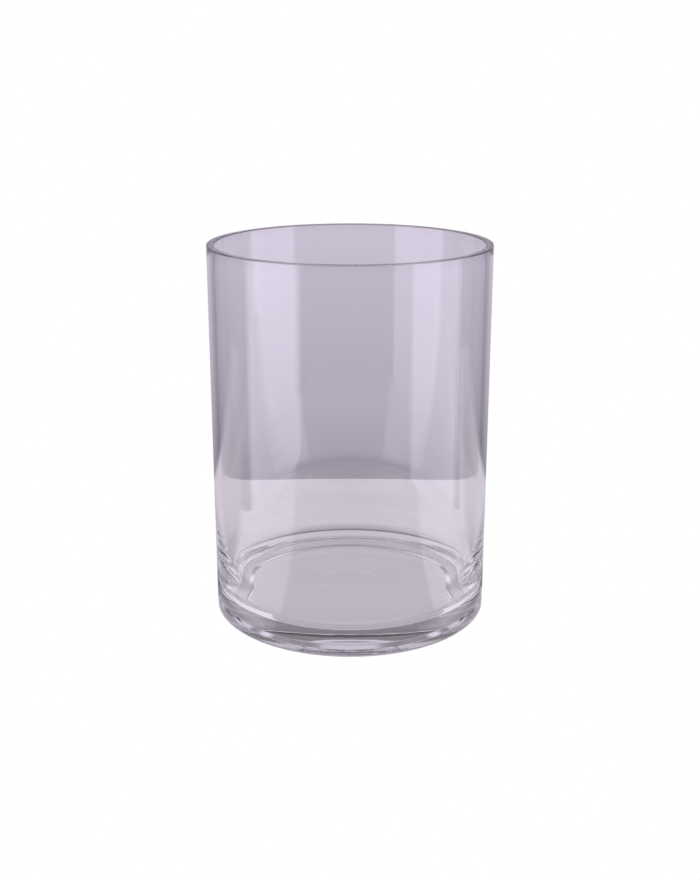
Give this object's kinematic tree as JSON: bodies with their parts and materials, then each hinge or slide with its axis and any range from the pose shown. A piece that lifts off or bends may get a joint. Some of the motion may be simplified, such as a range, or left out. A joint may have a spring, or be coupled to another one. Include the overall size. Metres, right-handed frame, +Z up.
{
  "type": "glass cylinder vase",
  "caption": "Straight round glass vase with an open top, a flat cut rim and a thick base that holds water and cut flower stems.",
  "frame": {"origin": "middle of the standing ring, on the plane that the vase stands on", "axes": "+Z up along the vase's axis of symmetry; X and Y lie in the table plane, in no special direction because the vase is round"},
  "size_m": [0.148, 0.148, 0.2],
  "materials": {
    "clear_glass": "polished"
  },
  "bodies": {
    "root": {"vase_glass": "clear_glass"}
  },
  "joints": []
}
